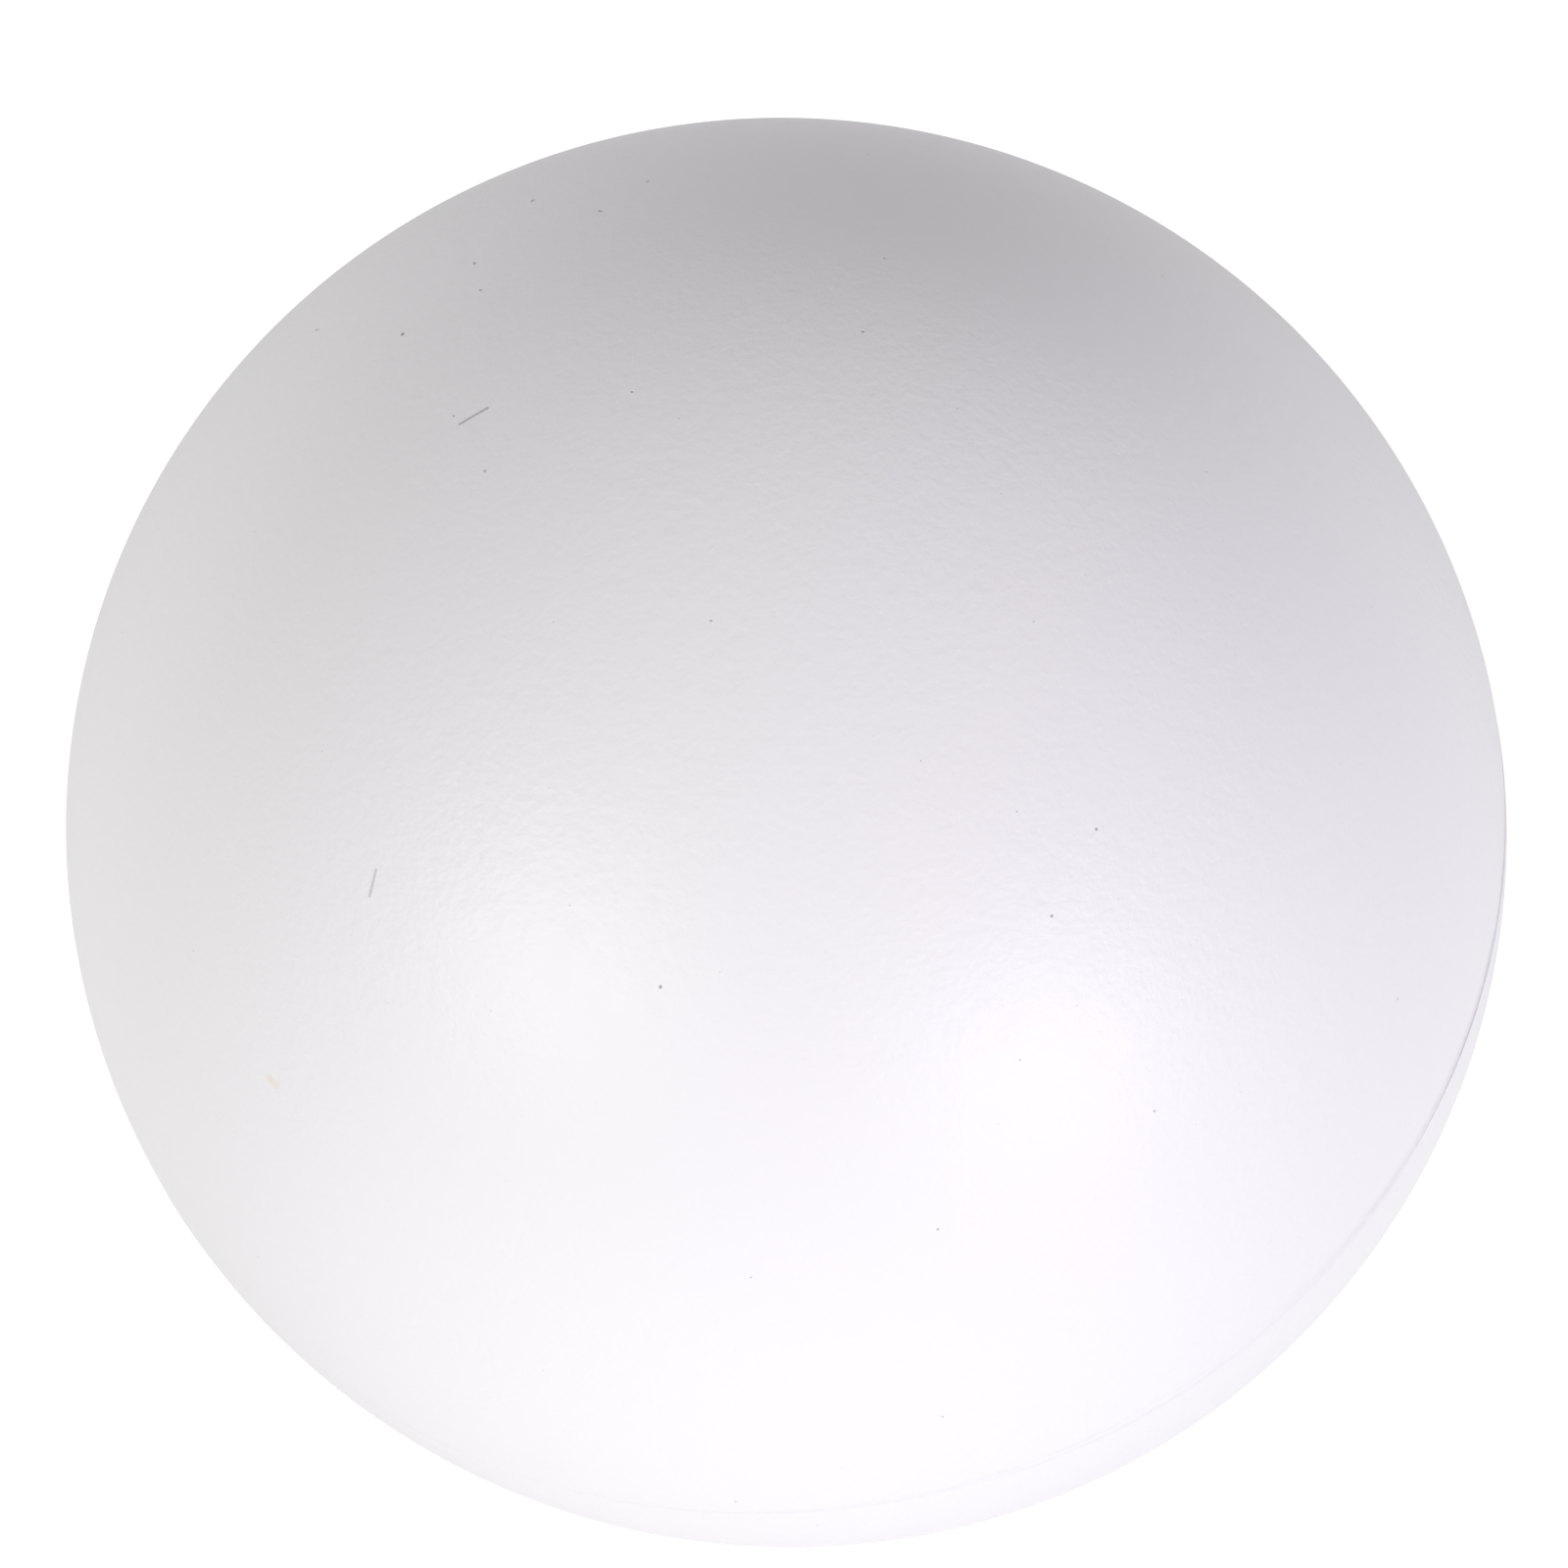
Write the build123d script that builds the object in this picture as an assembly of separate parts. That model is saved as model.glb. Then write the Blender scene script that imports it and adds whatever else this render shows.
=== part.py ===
from build123d import *

import math
import os

# A white cue ball moulded in soft polyurethane foam: a light foam core inside a denser, smooth
# skin. The mould has two halves, so the skin is two domes that meet on the equator, and the
# material squeezed out between the mould's halves stands along that joint as a thin ridge of
# flash, trimmed low.
#
# Frame: millimetres, the origin at the ball's centre, +Z along the axis of the two domes. The
# parting plane is z = 0. The ball rests on any point of its surface, and here on its lower pole.

# Driving dimensions
BALL_DIAMETER = 57.15  # over the skin, the size of a pool ball
SKIN_THICKNESS = 1.2  # the dense layer that foam forms against the mould's wall
FLASH_BASE_WIDTH = 0.7  # of the ridge, measured across the parting plane
FLASH_DEPTH = 0.3  # of its root, sunk between the rounded lips of the skin
FLASH_HEIGHT = 0.08  # left standing proud of the skin after trimming

# Worked out from them
BALL_RADIUS = BALL_DIAMETER / 2
CORE_RADIUS = BALL_RADIUS - SKIN_THICKNESS
LIP_HEIGHT = FLASH_BASE_WIDTH / 2
LIP_RADIUS = math.sqrt(BALL_RADIUS**2 - LIP_HEIGHT**2)
ROOT_RADIUS = BALL_RADIUS - FLASH_DEPTH
CREST_RADIUS = BALL_RADIUS + FLASH_HEIGHT
HALF_ANGLE = math.radians(45)


def on_circle(radius, angle):
    """The point of the XZ plane at this radius and this angle above the equator."""
    return (radius * math.cos(angle), radius * math.sin(angle))


def make_foam_core():
    """The open-celled middle, which fills the skin."""
    return Sphere(CORE_RADIUS)


def make_upper_skin():
    """The dome above the parting plane, with a bevelled lip that leaves room for the flash."""
    lip = (LIP_RADIUS, LIP_HEIGHT)
    root = (ROOT_RADIUS, 0)
    with BuildSketch(Plane.XZ) as profile:
        with BuildLine():
            Line((CORE_RADIUS, 0), root)
            Line(root, lip)
            ThreePointArc(lip, on_circle(BALL_RADIUS, HALF_ANGLE), (0, BALL_RADIUS))
            Line((0, BALL_RADIUS), (0, CORE_RADIUS))
            ThreePointArc((0, CORE_RADIUS), on_circle(CORE_RADIUS, HALF_ANGLE), (CORE_RADIUS, 0))
        make_face()
    return revolve(profile.sketch, Axis.Z)


def make_lower_skin():
    """The dome below the parting plane: the upper one, mirrored."""
    return mirror(make_upper_skin(), about=Plane.XY)


def make_parting_flash():
    """The trimmed ridge on the equator: a wedge rooted between the lips, with a rounded crest."""
    upper_edge = (LIP_RADIUS, LIP_HEIGHT)
    lower_edge = (LIP_RADIUS, -LIP_HEIGHT)
    with BuildSketch(Plane.XZ) as profile:
        with BuildLine():
            Line((ROOT_RADIUS, 0), upper_edge)
            ThreePointArc(upper_edge, (CREST_RADIUS, 0), lower_edge)
            Line(lower_edge, (ROOT_RADIUS, 0))
        make_face()
    return revolve(profile.sketch, Axis.Z)


nodes = {
    "foam_core": make_foam_core(),
    "upper_skin": make_upper_skin(),
    "lower_skin": make_lower_skin(),
    "parting_flash": make_parting_flash(),
}

os.makedirs("parts", exist_ok=True)
for name, solid in nodes.items():
    export_step(solid, f"parts/{name}.step")
    size = solid.bounding_box().size
    print(f"{name}: {solid.volume:.1f} mm3, {size.X:.2f} x {size.Y:.2f} x {size.Z:.2f} mm")
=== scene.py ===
import math
import random

import bmesh
import bpy
from mathutils import Matrix, Vector, kdtree, noise


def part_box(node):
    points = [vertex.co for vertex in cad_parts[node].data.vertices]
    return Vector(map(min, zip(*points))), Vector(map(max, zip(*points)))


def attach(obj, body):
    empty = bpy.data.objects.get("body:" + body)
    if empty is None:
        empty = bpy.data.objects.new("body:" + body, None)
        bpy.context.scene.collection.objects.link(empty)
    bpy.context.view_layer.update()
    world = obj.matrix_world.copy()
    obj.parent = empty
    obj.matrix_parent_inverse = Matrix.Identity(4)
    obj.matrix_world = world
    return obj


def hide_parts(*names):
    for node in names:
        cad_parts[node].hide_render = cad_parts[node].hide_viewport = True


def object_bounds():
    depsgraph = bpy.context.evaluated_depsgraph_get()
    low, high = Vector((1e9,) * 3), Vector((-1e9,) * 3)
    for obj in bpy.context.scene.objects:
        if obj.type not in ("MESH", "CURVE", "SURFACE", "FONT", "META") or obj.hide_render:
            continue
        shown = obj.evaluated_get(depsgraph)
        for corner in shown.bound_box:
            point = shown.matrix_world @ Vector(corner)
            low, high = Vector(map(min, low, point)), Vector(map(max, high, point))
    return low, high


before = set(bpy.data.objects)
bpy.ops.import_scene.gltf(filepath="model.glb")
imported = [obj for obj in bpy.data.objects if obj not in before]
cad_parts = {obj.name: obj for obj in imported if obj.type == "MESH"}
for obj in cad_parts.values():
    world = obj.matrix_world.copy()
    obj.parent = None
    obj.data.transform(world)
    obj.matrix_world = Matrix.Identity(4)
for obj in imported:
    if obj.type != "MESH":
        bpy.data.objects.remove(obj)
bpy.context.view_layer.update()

# A white cue ball moulded in soft polyurethane foam. The skin is two domes that meet on the
# equator, z = 0. A low ridge of flash, trimmed by hand, runs along their joint. Light, open-celled
# foam fills the skin.
#
# Everything is in metres, in the CAD frame: the origin is the ball's centre and +Z is the axis of
# the two domes. An azimuth is in degrees from the front, -Y, towards +X. A latitude is in degrees
# above the equator. A side is 1 for above the equator and -1 for below it.

MM = 0.001
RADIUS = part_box("upper_skin")[1].z
CORE_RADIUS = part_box("foam_core")[1].z

# The camera looks down at the ball, and is rolled a little.
VIEW_ELEVATION = math.radians(65.4)
VIEW_ROLL = math.radians(20)
VIEW_DISTANCE = 10 * RADIUS
OUTLINE_SHARE = 0.9155  # of the picture's half width that the ball's outline takes
CENTRE_RIGHT = 0.0015  # of the picture's width that the ball's centre lies right of its middle
CENTRE_DOWN = 0.031  # and below it
VIEW_BACK = Vector((0, -math.cos(VIEW_ELEVATION), math.sin(VIEW_ELEVATION)))
VIEW_RIGHT = Matrix.Rotation(VIEW_ROLL, 3, VIEW_BACK).inverted() @ Vector((1, 0, 0))
VIEW_UP = VIEW_BACK.cross(VIEW_RIGHT)

# The soft foam is a little oval. Seen along VIEW_BACK, it is widest at this angle from VIEW_RIGHT.
OVAL_SHARE = 0.005  # of the radius
OVAL_ANGLE = -20
PEEL_WAVES = ((3.2 * MM, 0.0016 * MM), (1.3 * MM, 0.0007 * MM))  # length and height

# Mesh density
CELLS = 144  # along a quarter of the equator
COLUMNS = 4 * CELLS  # round the equator
LINING_SHARE = 4  # the skin's inner face is this much coarser
CORE_CELLS = 120
RIDGE_COLUMNS = 2 * COLUMNS
RIDGE_ROWS = 16
SKIN_SHARP_ANGLE = 62  # an edge sharper than this, in degrees, isn't smoothed
CORE_SHARP_ANGLE = 80

# The parting line: a low ridge of flash, with a crease at either edge of it. In places the lips of
# the skin sink towards a crease in a shallow valley.
VALLEY_WIDTH = 0.48 * MM
VALLEY_DEPTH = 0.06 * MM
# How dark the valley is painted, with shade and grime
VALLEY_SHADE_AND_SOIL = 0.65
CREASE_WIDTH = 0.12 * MM
CREASE_DEPTH = 0.02 * MM
# How dark the crease is painted, with shade and grime
CREASE_SHADE_AND_SOIL = 0.6
CREASE_CLOSED = 0.05  # how open the crease is elsewhere
# Where it is open: side, azimuth, half the length in degrees, and how open the valley and the
# crease are there, from 0 to 1.
SEAM_OPENINGS = (
    (1, 60, 45, 1.0, 0.2),
    (1, -8, 34, 0.1, 0.5),
    (-1, 15, 24, 0.12, 0.4),
    (1, 128, 34, 0.5, 0.5),
    (-1, -168, 40, 0.3, 0.5),
    (1, -125, 50, 0.7, 0.5),
)
RIDGE_HALF_WIDTH = 0.11 * MM
RIDGE_HEIGHT = 0.015 * MM
ROOT_RADIUS = RADIUS - 0.3 * MM
# Where the knife held lower, the ridge is wider on its lower side: azimuth, half the cut's length
# in degrees, and what it adds to the width and the height.
TRIM_CUTS = (
    (18, 32, 0.45 * MM, 0.03 * MM),
    (-145, 34, 0.5 * MM, 0.02 * MM),
    (152, 20, 0.4 * MM, 0.03 * MM),
)
RIDGE_HOLES = 8  # small holes in the ridge, beside its upper edge
RIDGE_HOLE_REACH = 0.4  # degrees of azimuth
RIDGE_HOLE_DEPTH = 0.02 * MM
# How dark the ridge's small holes are painted, with shade and grime
RIDGE_HOLE_SHADE_AND_SOIL = 0.6
# The rows of a dome's lip, by their distance from the ridge
LIP_ROWS = tuple(
    s * MM for s in (0.95, 0.76, 0.61, 0.48, 0.37, 0.28, 0.2, 0.14, 0.09, 0.05, 0.02, 0.0)
)

# Pin-holes left by gas in the foam. A few larger ones lie together high at the back.
GROUP_MIDDLE = (-170, 50)  # azimuth and latitude
GROUP_SPREAD = 0.12  # of the radius
GROUP_HOLES = 7
GROUP_RADIUS = (0.06 * MM, 0.15 * MM)
SCATTERED_HOLES = 220
SMALLEST_HOLE = 0.02 * MM
LARGEST_HOLE = 0.08 * MM
HOLE_SPACING = 1.9 * MM
PLACE_TRIES = 5000
SEAM_CLEARANCE = 1.2 * MM  # from a hole in a dome to the parting plane
HOLE_DEPTH = (0.7, 1.1)  # as a share of the hole's radius
HOLE_SQUEEZE = (0.75, 1.0)  # how narrow an oval hole is
HOLE_SURROUND = 2.6  # how far the rings round a hole reach, in hole radii,
PATCH_SHARE = 0.8  # but no further than this share of the way to the patch's rim
LIP_START = 1.2
# The rings of a hole's lip and wall: distance from its middle in hole radii, and depth as a share
# of the hole's
HOLE_RINGS = ((1.15, -0.02), (1.0, 0.10), (0.85, 0.42), (0.6, 0.78), (0.3, 0.95))
HOLE_SHADE_AND_SOIL = 2.5  # a ring takes the full painted shade and grime from a depth share of 1 over this

# The core's burst cells
POCKETS = 5200
POCKET_SIZE = (0.5, 1.0)
POCKET_DEPTH = 0.34 * MM
POCKET_WALL = 0.22 * MM
CORE_CLEARANCE = 0.01 * MM

# Colours are linear red, green and blue.
SKIN_WHITE = (0.86, 0.862, 0.862)
FLASH_WHITE = (0.85, 0.85, 0.852)
SKIN_ROUGHNESS = 0.44
FLASH_ROUGHNESS = 0.54
PINK_SHIFT = (1.008, 0.996, 1.004)
COOL_SHIFT = (0.992, 1.0, 1.0)
DUSTY_SHIFT = (0.975, 0.975, 0.975)
# The dark colour of the painted shade and grime in the holes and creases
SHADE_AND_SOIL_COLOUR = (0.19, 0.16, 0.17, 1.0)
FOAM_LIGHT = (0.86, 0.83, 0.77, 1.0)
FOAM_WARM = (0.80, 0.77, 0.70, 1.0)
# Painted shade at the deep middle of the foam's cells
FOAM_SHADE = (0.62, 0.58, 0.51, 1.0)
PEBBLE_SIZE = 0.30 * MM
PEBBLE_RELIEF = 0.0125 * MM
FOAM_CELL = 0.45 * MM
FOAM_RELIEF = 0.12 * MM

# Two fibres and a fleck on the skin: the middle's azimuth and latitude, the heading in degrees from
# east towards north, half the length and half the width in mm, the strength, and the colour.
DUST = (0.20, 0.18, 0.19, 1.0)
CREAM = (0.80, 0.68, 0.48, 1.0)
MARKS = (
    (-145, 70, 150, 0.6, 0.08, 0.6, DUST),
    (-65, 55, -70, 0.5, 0.08, 0.4, DUST),
    (-65, 35, 0, 0.15, 0.25, 0.3, CREAM),
)

# The room's light: a neutral tint and a cool one, and panels, each as the direction towards it, the
# radiance at its middle and the tint.
NEUTRAL = (1.0, 0.98, 0.98)
COOL = (1.0, 0.95, 1.05)
ROOM_PANELS = (
    ((0, 1, 1), 0.7, NEUTRAL),
    ((1, 0, 1), 0.5, COOL),
    ((-1, 0, 0), 0.7, NEUTRAL),
)
PANEL_FALL = 4.0  # the power of the cosine by which a panel fades from its middle
# Lamps: azimuth, elevation, strength and tint
LAMPS = (
    ("left_softbox", -60, 40, 1.6, NEUTRAL),
    ("right_softbox", 25, 15, 1.8, COOL),
)
LAMP_WIDTH = 30  # degrees
FLOOR_REACH = 60 * RADIUS
FLOOR_WHITE = 0.45
FLOOR_GLOW = 0.5
# Seen straight by the camera, the floor shows white round the ball and pale grey further off.
FLOOR_SEEN_NEAR = 0.80
FLOOR_SEEN_FAR = 0.44
NEAR_REACH = 2.8 * RADIUS
FAR_REACH = 7 * RADIUS
ROOM_SEEN = 0.80


def direction(azimuth, latitude):
    """The unit vector at this azimuth and latitude, in degrees."""
    a = math.radians(azimuth)
    b = math.radians(latitude)
    return Vector((math.cos(b) * math.sin(a), -math.cos(b) * math.cos(a), math.sin(b)))


def smooth_bump(x):
    """1 at 0, falling smoothly to 0 at 1 and beyond."""
    x = min(abs(x), 1.0)
    return (1 - x * x) ** 2


def bell(away, width):
    """1 at 0, falling smoothly to 1/e at width."""
    return math.exp(-((away / width) ** 2))


def turn_between(a, b):
    """The degrees from azimuth b to azimuth a, from -180 to 180."""
    return (a - b + 180) % 360 - 180


def wander(azimuth, length, seed):
    """Noise from about 0 to 1 along the equator, with waves about length long."""
    place = direction(azimuth, 0) * (RADIUS / length) + Vector((seed, 0, 0))
    return 0.5 + 0.5 * noise.noise(place, noise_basis="PERLIN_ORIGINAL")


def surface_radius(way):
    """How far the moulded surface is from the centre in this direction, without its small marks."""
    across = way.dot(VIEW_RIGHT)
    up = way.dot(VIEW_UP)
    away = math.hypot(across, up)
    turn = math.atan2(up, across)
    share = OVAL_SHARE * away**2 * math.cos(2 * (turn - math.radians(OVAL_ANGLE)))
    peel = sum(height * noise.noise(way * (RADIUS / length)) for length, height in PEEL_WAVES)
    return RADIUS * (1 + share) + peel


def ridge_edge(azimuth, side):
    """How far the ridge reaches from the parting plane on this side."""
    wider = 0
    if side < 0:
        wider = sum(
            width * smooth_bump(turn_between(azimuth, middle) / reach)
            for middle, reach, width, _ in TRIM_CUTS
        )
    return (RIDGE_HALF_WIDTH + wider) * (0.8 + 0.4 * wander(azimuth, 2.5 * MM, 11))


def ridge_height(azimuth):
    """How proud the ridge stands in its middle."""
    higher = sum(
        height * smooth_bump(turn_between(azimuth, middle) / reach)
        for middle, reach, _, height in TRIM_CUTS
    )
    return (RIDGE_HEIGHT + higher) * (0.55 + 0.9 * wander(azimuth, 1.1 * MM, 23))


def seam_opening(azimuth, side):
    """How open the valley and the crease are at this azimuth, on this side of the ridge."""
    valley = 0
    crease = CREASE_CLOSED
    for opening_side, middle, reach, valley_share, crease_share in SEAM_OPENINGS:
        if opening_side == side:
            near = smooth_bump(turn_between(azimuth, middle) / reach)
            valley += valley_share * near
            crease += crease_share * near
    coarse = wander(azimuth, 1.6 * MM, 37 * side)
    fine = wander(azimuth, 0.5 * MM, 53 * side)
    unbroken = min(max(1.6 * (coarse + 0.5 * fine - 0.32), 0.12), 1.0)
    valley *= 0.7 + 0.6 * wander(azimuth, 3 * MM, 71)
    return valley, crease * unbroken


def seam_dip(azimuth, side, away):
    """How deep the surface dips at this distance from the ridge's edge on this side."""
    valley, crease = seam_opening(azimuth, side)
    dip = VALLEY_DEPTH * valley * bell(away, VALLEY_WIDTH)
    return dip + CREASE_DEPTH * crease * bell(away, CREASE_WIDTH)


def seam_shade_and_soil(azimuth, side, away):
    """The painted shade and grime at this distance from the ridge's edge, in the valley and the
    crease.
    """
    valley, crease = seam_opening(azimuth, side)
    shade_and_soil = VALLEY_SHADE_AND_SOIL * valley * bell(away, VALLEY_WIDTH)
    return shade_and_soil + CREASE_SHADE_AND_SOIL * crease * bell(away, CREASE_WIDTH)


def shaded_smooth(bm, name, sharp_angle):
    """The bmesh as a mesh object, smooth except at edges sharper than this angle."""
    bmesh.ops.recalc_face_normals(bm, faces=bm.faces)
    mesh = bpy.data.meshes.new(name)
    bm.to_mesh(mesh)
    bm.free()
    mesh.shade_smooth()
    mesh.set_sharp_from_angle(angle=math.radians(sharp_angle))
    obj = bpy.data.objects.new(name, mesh)
    bpy.context.scene.collection.objects.link(obj)
    return obj


def cube_sphere(cells):
    """A bmesh of a unit sphere with even, four-sided faces, cells along a quarter turn."""
    bm = bmesh.new()
    bmesh.ops.create_cube(bm, size=2)
    bmesh.ops.subdivide_edges(bm, edges=bm.edges, cuts=cells - 1, use_grid_fill=True)
    for v in bm.verts:
        v.co = Vector([math.tan(c * math.pi / 4) for c in v.co]).normalized()
    return bm


def half_sphere(cells):
    """The half of cube_sphere above z = 0, whose rim has 4 * cells vertices."""
    bm = cube_sphere(cells)
    below = [v for v in bm.verts if v.co.z < -1e-4]
    bmesh.ops.delete(bm, geom=below, context="VERTS")
    return bm


def by_azimuth(verts):
    """These vertices in order of azimuth from 0 to 360."""
    return sorted(verts, key=lambda v: math.atan2(v.co.x, -v.co.y) % math.tau)


def azimuth_of(place):
    return math.degrees(math.atan2(place.x, -place.y))


def add_ring(bm, ring, places):
    """A new ring of vertices at these places, joined to ring by four-sided faces."""
    new = [bm.verts.new(p) for p in places]
    for i in range(len(ring)):
        j = (i + 1) % len(ring)
        bm.faces.new((ring[i], ring[j], new[j], new[i]))
    return new


def hole_places(rng, side):
    """(direction, radius) of each pin-hole in the dome on this side."""
    placed = []
    tries = 0
    while len(placed) < GROUP_HOLES + SCATTERED_HOLES and tries < PLACE_TRIES:
        tries += 1
        way = Vector([rng.gauss(0, 1) for _ in range(3)])
        if len(placed) < GROUP_HOLES:
            way = direction(*GROUP_MIDDLE) + GROUP_SPREAD * way
            radius = rng.uniform(*GROUP_RADIUS)
        else:
            radius = SMALLEST_HOLE + (LARGEST_HOLE - SMALLEST_HOLE) * rng.random() ** 3
        way.normalize()
        if all((way - other).length * RADIUS > HOLE_SPACING for other, _ in placed):
            placed.append((way, radius))
    clear = SEAM_CLEARANCE / RADIUS
    return [(way, radius) for way, radius in placed if way.z * side > clear]


def sink_hole(bm, shade_and_soil, face, way, radius, rng):
    """Replaces the patch of faces round face by rings that sink to a pin-hole."""
    patch = {f for v in face.verts for f in v.link_faces}
    rim_edges = [e for f in patch for e in f.edges if sum(g in patch for g in e.link_faces) == 1]
    middle = way * way.dot(face.calc_center_median())
    across = way.orthogonal().normalized()
    up = way.cross(across)

    def angle_of(v):
        return math.atan2((v.co - middle).dot(up), (v.co - middle).dot(across))

    rim = sorted({v for e in rim_edges for v in e.verts}, key=angle_of)
    inner = [v for f in patch for v in f.verts if v not in rim]
    bmesh.ops.delete(bm, geom=list(patch), context="FACES_ONLY")
    bmesh.ops.delete(bm, geom=[v for v in set(inner) if v.is_valid], context="VERTS")
    depth = radius * rng.uniform(*HOLE_DEPTH)
    squeeze = rng.uniform(*HOLE_SQUEEZE)
    lean = rng.uniform(0, math.pi)
    room = min((v.co - middle).length for v in rim) / radius
    widest = min(HOLE_SURROUND, PATCH_SHARE * room)
    surround = ((widest, 0.0), (LIP_START + 0.3 * (widest - LIP_START), -0.01))
    ring = rim
    for out, down in surround + HOLE_RINGS:
        places = []
        for v in rim:
            angle = angle_of(v)
            oval = 1 - (1 - squeeze) * math.cos(angle - lean) ** 2
            step = across * math.cos(angle) + up * math.sin(angle)
            point = (middle + step * (radius * out * oval)).normalized()
            places.append(point * (surface_radius(point) - depth * down))
        ring = add_ring(bm, ring, places)
        # Painted shade and grime in the hole, darker the deeper the ring lies
        for v in ring:
            v[shade_and_soil] = max(0.0, min(1.0, HOLE_SHADE_AND_SOIL * down))
    # The hole's bottom takes the full painted shade and grime
    bottom = bm.verts.new(way * (surface_radius(way) - depth))
    bottom[shade_and_soil] = 1.0
    for i in range(len(ring)):
        bm.faces.new((ring[i], ring[(i + 1) % len(ring)], bottom))


def make_dome(name, side, rng):
    """The skin on one side of the parting line: a closed shell."""
    bm = half_sphere(CELLS)
    # Layers of painted shade and grime: in the pin-holes, and along the seam
    shade_and_soil = bm.verts.layers.float.new("shade_and_soil")
    crease = bm.verts.layers.float.new("crease")
    quarter = math.pi / 4
    for v in bm.verts:
        latitude = math.asin(max(-1.0, min(1.0, v.co.z)))
        azimuth = azimuth_of(v.co)
        if latitude < quarter:
            start = (ridge_edge(azimuth, side) + LIP_ROWS[0]) / RADIUS
            latitude += start * (1 - latitude / quarter)
            v.co = direction(azimuth, math.degrees(latitude))
        v.co.z *= side
        v.co *= surface_radius(v.co)
    rim = by_azimuth({v for e in bm.edges if e.is_boundary for v in e.verts})
    azimuths = [azimuth_of(v.co) for v in rim]
    outer_faces = list(bm.faces)

    ring = rim
    for row in LIP_ROWS[1:]:
        places = []
        for azimuth in azimuths:
            latitude = math.degrees((ridge_edge(azimuth, side) + row) / RADIUS)
            way = direction(azimuth, side * latitude)
            places.append(way * (surface_radius(way) - seam_dip(azimuth, side, row)))
        ring = add_ring(bm, ring, places)
        # Painted shade and grime of the seam's valley and crease, on the lip
        for v, azimuth in zip(ring, azimuths):
            v[crease] = seam_shade_and_soil(azimuth, side, row)
    ring = add_ring(bm, ring, [direction(a, 0) * ROOT_RADIUS for a in azimuths])

    # The lining, coarser than the outside, joined to it by a flat ring on the parting plane
    lining = half_sphere(CELLS // LINING_SHARE)
    for v in lining.verts:
        v.co.z *= side
        v.co *= CORE_RADIUS
    copy = bpy.data.meshes.new("lining")
    lining.to_mesh(copy)
    lining.free()
    outer_verts = set(bm.verts)
    bm.from_mesh(copy)
    bpy.data.meshes.remove(copy)
    inner_rim = by_azimuth([v for v in bm.verts if v not in outer_verts and v.is_boundary])
    half = LINING_SHARE // 2
    for i, v in enumerate(inner_rim):
        after = inner_rim[(i + 1) % len(inner_rim)]
        steps = [ring[(LINING_SHARE * i + k) % COLUMNS] for k in range(LINING_SHARE + 1)]
        for k in range(half):
            bm.faces.new((v, steps[k], steps[k + 1]))
            bm.faces.new((after, steps[half + k], steps[half + k + 1]))
        bm.faces.new((v, steps[half], after))

    tree = kdtree.KDTree(len(outer_faces))
    for i, f in enumerate(outer_faces):
        tree.insert(f.calc_center_median().normalized(), i)
    tree.balance()
    for way, radius in hole_places(rng, side):
        face = outer_faces[tree.find(way)[1]]
        sink_hole(bm, shade_and_soil, face, way, radius, rng)
    return shaded_smooth(bm, name, SKIN_SHARP_ANGLE)


def make_ridge(name, rng):
    """The trimmed flash: a closed ring that fills the joint between the two domes."""
    bm = bmesh.new()
    # Layers of painted shade and grime: along the seam, and in the ridge's small holes
    crease = bm.verts.layers.float.new("crease")
    shade_and_soil = bm.verts.layers.float.new("shade_and_soil")
    azimuths = [360 * i / RIDGE_COLUMNS for i in range(RIDGE_COLUMNS)]
    spots = [rng.uniform(-180, 180) for _ in range(RIDGE_HOLES)]
    shares = [-math.cos(math.pi * k / RIDGE_ROWS) for k in range(RIDGE_ROWS + 1)]
    first = None
    ring = None
    for share in shares:
        places = []
        shades_and_soils = []
        for azimuth in azimuths:
            top = ridge_edge(azimuth, 1)
            bottom = -ridge_edge(azimuth, -1)
            at = (top + bottom) / 2 + (top - bottom) / 2 * share
            way = direction(azimuth, math.degrees(at / RADIUS))
            rise = ridge_height(azimuth) * (1 - share**2)
            upper = seam_dip(azimuth, 1, top - at)
            lower = seam_dip(azimuth, -1, at - bottom)
            # The ridge meets each dome's lip at that lip's own depth.
            edges = (1 + share) / 2 * seam_dip(azimuth, 1, 0)
            edges += (1 - share) / 2 * seam_dip(azimuth, -1, 0)
            spot = sum(smooth_bump(turn_between(azimuth, a) / RIDGE_HOLE_REACH) for a in spots)
            spot *= smooth_bump((top - at) / (1.2 * CREASE_WIDTH))
            dip = min(upper + lower, max(edges, upper, lower)) + RIDGE_HOLE_DEPTH * spot
            places.append(way * (surface_radius(way) + rise - dip))
            # Painted shade and grime of the seam's valleys and creases, reaching onto the ridge
            shade_and_dirt = seam_shade_and_soil(azimuth, 1, top - at) + seam_shade_and_soil(azimuth, -1, at - bottom)
            shades_and_soils.append((shade_and_dirt, spot))
        ring = add_ring(bm, ring, places) if ring else [bm.verts.new(p) for p in places]
        first = first or ring
        for v, (shade_and_dirt, spot) in zip(ring, shades_and_soils):
            v[crease] = shade_and_dirt
            v[shade_and_soil] = RIDGE_HOLE_SHADE_AND_SOIL * spot
    root = add_ring(bm, ring, [direction(a, 0) * ROOT_RADIUS for a in azimuths])
    for i in range(RIDGE_COLUMNS):
        j = (i + 1) % RIDGE_COLUMNS
        bm.faces.new((root[i], root[j], first[j], first[i]))
    return shaded_smooth(bm, name, SKIN_SHARP_ANGLE)


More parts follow.
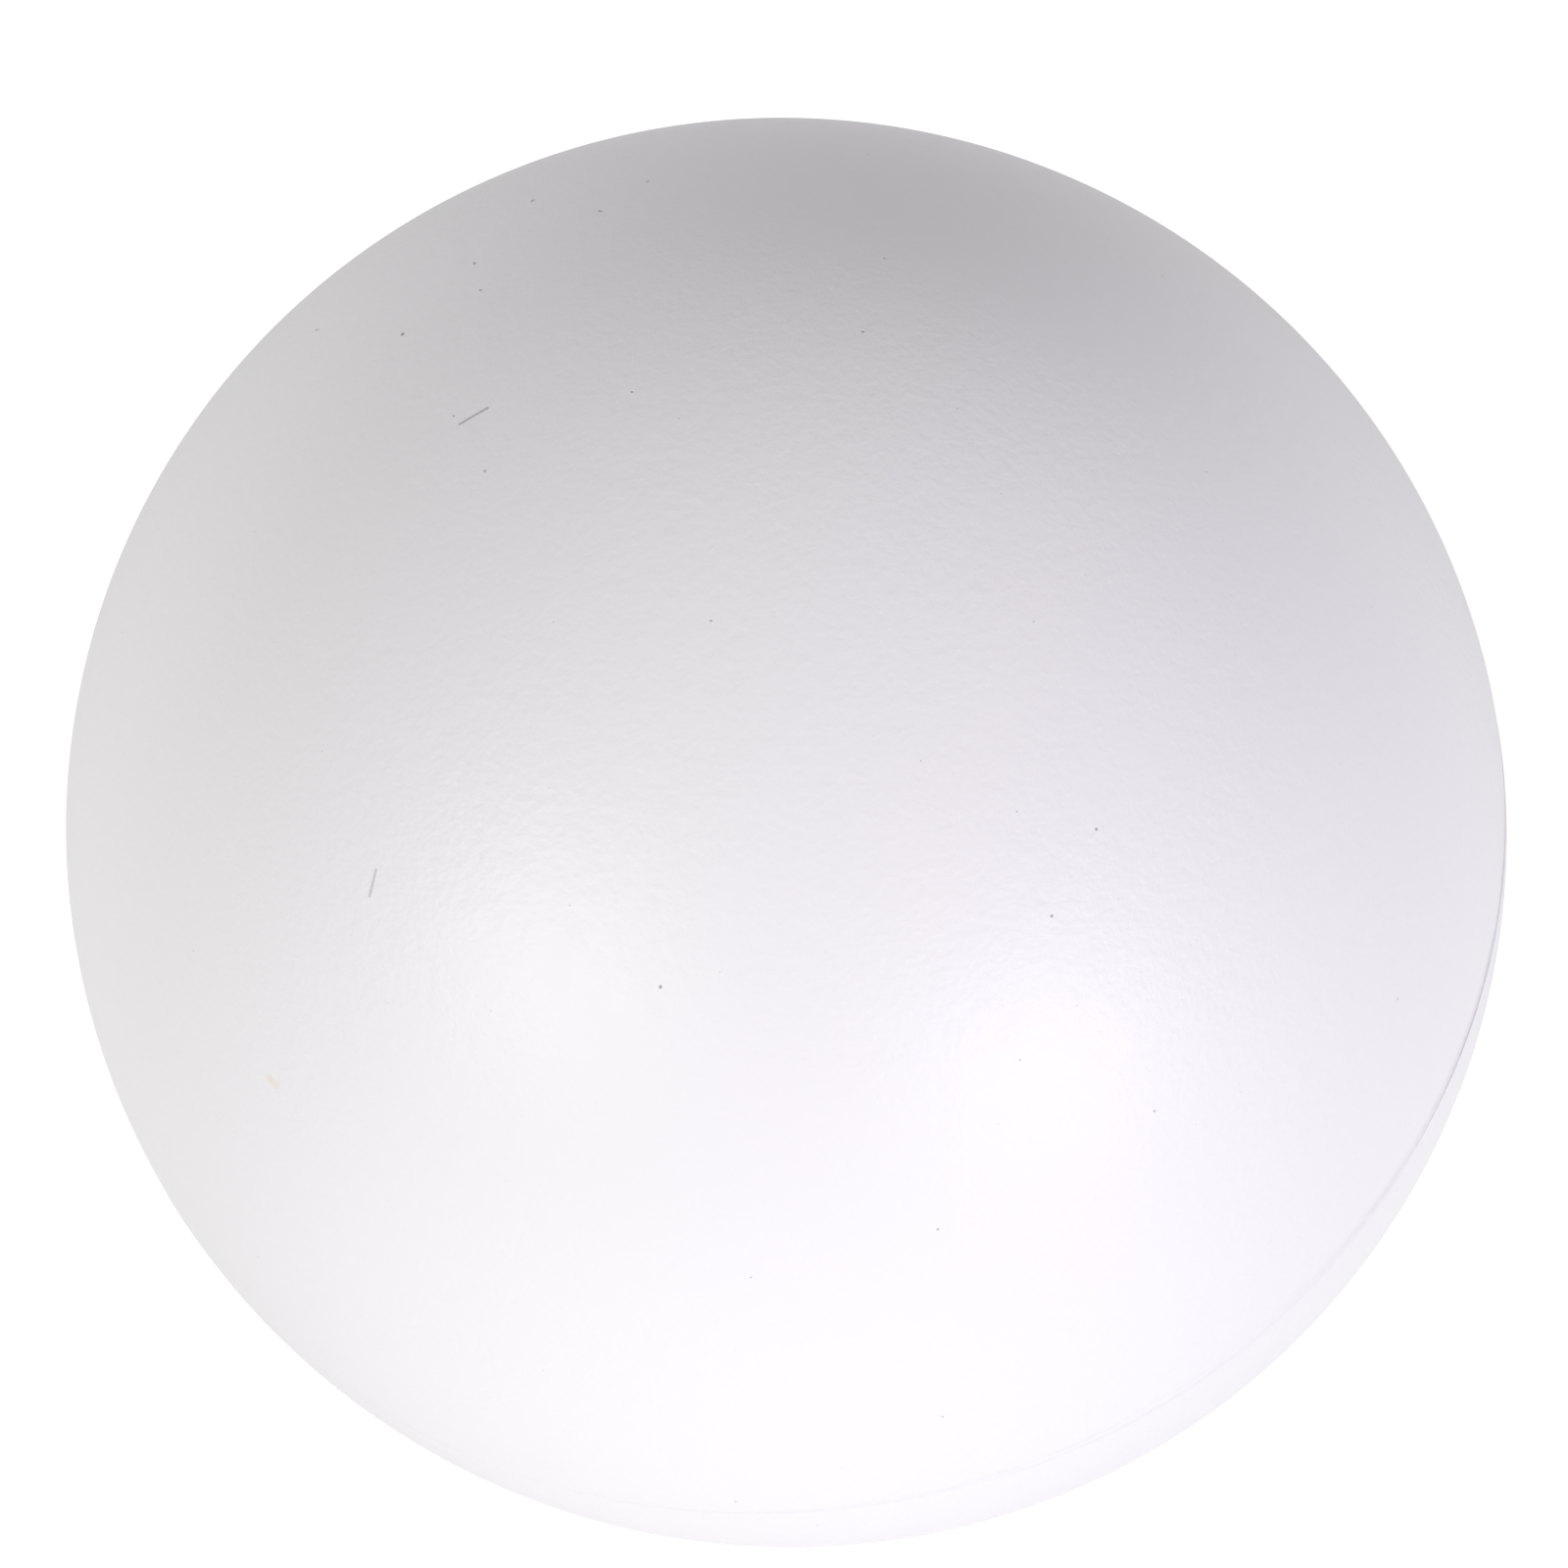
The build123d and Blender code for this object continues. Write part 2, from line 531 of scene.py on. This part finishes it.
def make_core(name, rng):
    """The foam inside: a ball whose surface is packed with burst cells of uneven size."""
    bm = cube_sphere(CORE_CELLS)
    pockets = []
    for _ in range(POCKETS):
        way = Vector([rng.gauss(0, 1) for _ in range(3)]).normalized()
        pockets.append((way * CORE_RADIUS, rng.uniform(*POCKET_SIZE)))
    tree = kdtree.KDTree(len(pockets))
    for i, (place, _) in enumerate(pockets):
        tree.insert(place, i)
    tree.balance()
    for v in bm.verts:
        (_, pocket, nearest), (_, _, second) = tree.find_n(v.co * CORE_RADIUS, 2)
        gap = second - nearest  # 0 on the wall between two pockets
        sunk = POCKET_DEPTH * pockets[pocket][1] * (1 - bell(gap, POCKET_WALL))
        v.co = v.co * (CORE_RADIUS - CORE_CLEARANCE - sunk)
    return shaded_smooth(bm, name, CORE_SHARP_ANGLE)


def new_material(name):
    """A material with nodes, and its node tree and shader."""
    material = bpy.data.materials.new(name)
    material.use_nodes = True
    tree = material.node_tree
    return material, tree, tree.nodes["Principled BSDF"]


def node(tree, kind, inputs=None, **settings):
    """A new node, with its settings and its inputs: a value, or the socket to link from."""
    made = tree.nodes.new(kind)
    for key, value in settings.items():
        setattr(made, key, value)
    for key, value in (inputs or {}).items():
        if isinstance(value, bpy.types.NodeSocket):
            tree.links.new(value, made.inputs[key])
        else:
            made.inputs[key].default_value = value
    return made


def math_node(tree, operation, *values, clamp=False):
    inputs = dict(enumerate(values))
    return node(tree, "ShaderNodeMath", inputs, operation=operation, use_clamp=clamp).outputs[0]


def vector_node(tree, operation, inputs, output="Vector"):
    return node(tree, "ShaderNodeVectorMath", inputs, operation=operation).outputs[output]


def mixed_colour(tree, share, a, b):
    """Colour a, turning to colour b as share goes from 0 to 1."""
    inputs = {0: share, 6: a, 7: b}
    return node(tree, "ShaderNodeMix", inputs, data_type="RGBA").outputs[2]


def noise_value(tree, place, size, detail=2.0):
    """Noise whose patches are about size metres across."""
    inputs = {"Vector": place, "Scale": 1 / size, "Detail": detail, "Roughness": 0.5}
    return node(tree, "ShaderNodeTexNoise", inputs).outputs["Fac"]


def tinted(white, shift):
    return tuple(c * k for c, k in zip(white, shift)) + (1.0,)


def streak_mask(tree, place, start, end, width):
    """1 on the line from start to end, falling to 0 at this width from it: a fibre or a scuff."""
    along = end - start
    offset = vector_node(tree, "SUBTRACT", {0: place, 1: start})
    reach = vector_node(tree, "DOT_PRODUCT", {0: offset, 1: along}, "Value")
    share = math_node(tree, "DIVIDE", reach, along.length_squared, clamp=True)
    nearest = vector_node(tree, "SCALE", {0: along, "Scale": share})
    away = vector_node(tree, "DISTANCE", {0: offset, 1: nearest}, "Value")
    fall = math_node(tree, "DIVIDE", away, width)
    return math_node(tree, "SUBTRACT", 1.0, math_node(tree, "MULTIPLY", fall, fall), clamp=True)


def add_marks(tree, place, colour):
    """The colour with the fibres and the fleck on it."""
    for azimuth, latitude, heading, half_length, half_width, strength, tint in MARKS:
        middle = direction(azimuth, latitude)
        east = direction(azimuth + 90, 0)
        turn = math.radians(heading)
        reach = (east * math.cos(turn) + middle.cross(east) * math.sin(turn)) * (half_length * MM)
        start = middle * RADIUS - reach
        mask = streak_mask(tree, place, start, start + 2 * reach, half_width * MM)
        colour = mixed_colour(tree, math_node(tree, "MULTIPLY", mask, strength), colour, tint)
    return colour


def pebbled_skin(name, white, roughness):
    """Satin moulded foam skin: a fine pebble, faint mottling, and painted shade and grime in its
    holes and creases.
    """
    material, tree, shader = new_material(name)
    place = node(tree, "ShaderNodeTexCoord").outputs["Object"]
    shade_and_soil = node(tree, "ShaderNodeAttribute", attribute_name="shade_and_soil").outputs["Fac"]
    crease = node(tree, "ShaderNodeAttribute", attribute_name="crease").outputs["Fac"]

    broad = noise_value(tree, place, 7 * MM, detail=3.0)
    fine = noise_value(tree, place, 0.9 * MM, detail=3.0)
    speckle = noise_value(tree, place, 0.3 * MM)
    speckle = math_node(tree, "MULTIPLY_ADD", speckle, 5.0, -2.0, clamp=True)
    colour = mixed_colour(tree, broad, tinted(white, PINK_SHIFT), tinted(white, COOL_SHIFT))
    dust = math_node(tree, "MULTIPLY", fine, 0.5)
    colour = mixed_colour(tree, dust, colour, tinted(white, DUSTY_SHIFT))
    colour = add_marks(tree, place, colour)
    # Painted shade and grime: in the holes, and in the seam's crease and valley, broken by speckle
    flecks = math_node(tree, "MULTIPLY_ADD", speckle, 0.12, 0.12)
    lined = math_node(tree, "MULTIPLY", crease, flecks)
    shade_and_dirt = math_node(tree, "MULTIPLY_ADD", shade_and_soil, 0.38, lined, clamp=True)
    tree.links.new(mixed_colour(tree, shade_and_dirt, colour, SHADE_AND_SOIL_COLOUR), shader.inputs["Base Color"])

    rough = math_node(tree, "MULTIPLY_ADD", fine, 0.08, roughness - 0.04)
    tree.links.new(rough, shader.inputs["Roughness"])
    shader.inputs["IOR"].default_value = 1.47

    pebble_inputs = {"Vector": place, "Scale": 1 / PEBBLE_SIZE, "Smoothness": 1.0}
    pebble = node(tree, "ShaderNodeTexVoronoi", pebble_inputs, feature="SMOOTH_F1")
    grain = math_node(tree, "MULTIPLY", noise_value(tree, place, 0.16 * MM), 0.7)
    orange_peel = noise_value(tree, place, 0.8 * MM)
    height = math_node(tree, "MULTIPLY_ADD", orange_peel, 1.5, grain)
    height = math_node(tree, "ADD", pebble.outputs["Distance"], height)
    relief = {"Strength": 1.0, "Distance": PEBBLE_RELIEF, "Height": height}
    bump = node(tree, "ShaderNodeBump", relief)
    tree.links.new(bump.outputs["Normal"], shader.inputs["Normal"])
    return material


def cellular_foam(name):
    """Soft open foam: off-white, dull, and with painted shade where a cell goes deep."""
    material, tree, shader = new_material(name)
    place = node(tree, "ShaderNodeTexCoord").outputs["Object"]
    inputs = {"Vector": place, "Scale": 1 / FOAM_CELL}
    cells = node(tree, "ShaderNodeTexVoronoi", inputs, feature="F1").outputs["Distance"]
    patches = noise_value(tree, place, 4 * MM, detail=3.0)
    cream = mixed_colour(tree, patches, FOAM_LIGHT, FOAM_WARM)
    # Painted shade: darker towards the deep middle of each cell
    deep = mixed_colour(tree, math_node(tree, "MULTIPLY", cells, 0.35), FOAM_SHADE, cream)
    tree.links.new(mixed_colour(tree, 0.65, deep, cream), shader.inputs["Base Color"])
    rough = math_node(tree, "MULTIPLY_ADD", patches, 0.1, 0.82)
    tree.links.new(rough, shader.inputs["Roughness"])
    bump = node(tree, "ShaderNodeBump", {"Strength": 0.8, "Distance": FOAM_RELIEF, "Height": cells})
    tree.links.new(bump.outputs["Normal"], shader.inputs["Normal"])
    return material


def camera_ray(tree):
    return node(tree, "ShaderNodeLightPath").outputs["Is Camera Ray"]


def glowing_floor(name):
    """A pale matt sheet that glows softly, and that the camera sees greyer further off."""
    material, tree, shader = new_material(name)
    shader.inputs["Base Color"].default_value = (FLOOR_WHITE, FLOOR_WHITE, FLOOR_WHITE, 1.0)
    shader.inputs["Roughness"].default_value = 0.9
    shader.inputs["Specular IOR Level"].default_value = 0.0
    shader.inputs["Emission Color"].default_value = (1.0, 1.0, 1.0, 1.0)
    place = node(tree, "ShaderNodeTexCoord").outputs["Object"]
    seen = node(
        tree,
        "ShaderNodeMapRange",
        {
            "Value": vector_node(tree, "LENGTH", {0: place}, "Value"),
            "From Min": NEAR_REACH,
            "From Max": FAR_REACH,
            "To Min": FLOOR_SEEN_NEAR,
            "To Max": FLOOR_SEEN_FAR,
        },
        interpolation_type="SMOOTHSTEP",
    ).outputs["Result"]
    inputs = {0: camera_ray(tree), 2: FLOOR_GLOW, 3: seen}
    glow = node(tree, "ShaderNodeMix", inputs, data_type="FLOAT").outputs[0]
    tree.links.new(glow, shader.inputs["Emission Strength"])
    material.cycles.emission_sampling = "NONE"
    return material


def make_floor(height):
    """A wide flat sheet at this height."""
    bm = bmesh.new()
    corners = ((-1, -1), (1, -1), (1, 1), (-1, 1))
    bm.faces.new([bm.verts.new((x * FLOOR_REACH, y * FLOOR_REACH, height)) for x, y in corners])
    mesh = bpy.data.meshes.new("floor")
    bm.to_mesh(mesh)
    bm.free()
    mesh.materials.append(glowing_floor("pale_floor"))
    floor = bpy.data.objects.new("floor", mesh)
    bpy.context.scene.collection.objects.link(floor)
    return floor


def make_sun(name, azimuth, elevation, colour, softness):
    """A broad soft lamp far off, of this colour and angular width in degrees."""
    lamp = bpy.data.lights.new(name, "SUN")
    lamp.energy = max(colour)
    lamp.color = [c / max(colour) for c in colour]
    lamp.angle = math.radians(softness)
    obj = bpy.data.objects.new(name, lamp)
    turned = direction(azimuth, elevation).to_track_quat("Z", "Y")
    obj.matrix_world = turned.to_matrix().to_4x4()
    bpy.context.scene.collection.objects.link(obj)


def make_room():
    """Broad soft panels far off, above and at the sides. The room itself shows pale grey."""
    world = bpy.data.worlds.new("soft_room")
    world.use_nodes = True
    tree = world.node_tree
    way = node(tree, "ShaderNodeTexCoord").outputs["Generated"]
    glow = None
    for toward, strength, tint in ROOM_PANELS:
        colour = Vector(tint) * strength
        facing = vector_node(tree, "DOT_PRODUCT", {0: way, 1: Vector(toward).normalized()}, "Value")
        fall = math_node(tree, "POWER", math_node(tree, "MAXIMUM", facing, 0.0), PANEL_FALL)
        panel = vector_node(tree, "SCALE", {0: colour, "Scale": fall})
        glow = vector_node(tree, "ADD", {0: glow, 1: panel}) if glow else panel
    shown = mixed_colour(tree, camera_ray(tree), glow, (ROOM_SEEN, ROOM_SEEN, ROOM_SEEN, 1.0))
    tree.links.new(shown, tree.nodes["Background"].inputs["Color"])
    bpy.context.scene.world = world


def make_camera():
    camera = bpy.data.cameras.new("camera")
    outline = math.tan(math.asin(RADIUS / VIEW_DISTANCE))
    camera.lens = camera.sensor_width / 2 * OUTLINE_SHARE / outline
    camera.shift_x = -CENTRE_RIGHT
    camera.shift_y = CENTRE_DOWN
    camera.clip_start = RADIUS
    camera.clip_end = 1000 * RADIUS
    obj = bpy.data.objects.new("camera", camera)
    turned = Matrix((VIEW_RIGHT, VIEW_UP, VIEW_BACK)).transposed()
    obj.matrix_world = Matrix.Translation(VIEW_BACK * VIEW_DISTANCE) @ turned.to_4x4()
    bpy.context.scene.collection.objects.link(obj)
    bpy.context.scene.camera = obj


skin_white = pebbled_skin("satin_skin", SKIN_WHITE, SKIN_ROUGHNESS)
flash_white = pebbled_skin("trimmed_flash", FLASH_WHITE, FLASH_ROUGHNESS)
foam_white = cellular_foam("open_foam")

upper_dome = make_dome("upper_dome", 1, random.Random(5))
lower_dome = make_dome("lower_dome", -1, random.Random(6))
flash_ridge = make_ridge("flash_ridge", random.Random(8))
cellular_core = make_core("cellular_core", random.Random(7))

for piece, cad_node, slot, material in (
    (upper_dome, "upper_skin", "skin", skin_white),
    (lower_dome, "lower_skin", "skin", skin_white),
    (flash_ridge, "parting_flash", "flash", flash_white),
    (cellular_core, "foam_core", "foam", foam_white),
):
    piece.data.materials.append(material)
    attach(piece, "root")
    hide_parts(cad_node)

make_camera()
make_room()
for name, azimuth, elevation, strength, tint in LAMPS:
    make_sun(name, azimuth, elevation, Vector(tint) * strength, LAMP_WIDTH)
visual_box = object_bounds()
floor = make_floor(visual_box[0].z)
bpy.context.scene.view_settings.view_transform = "Standard"
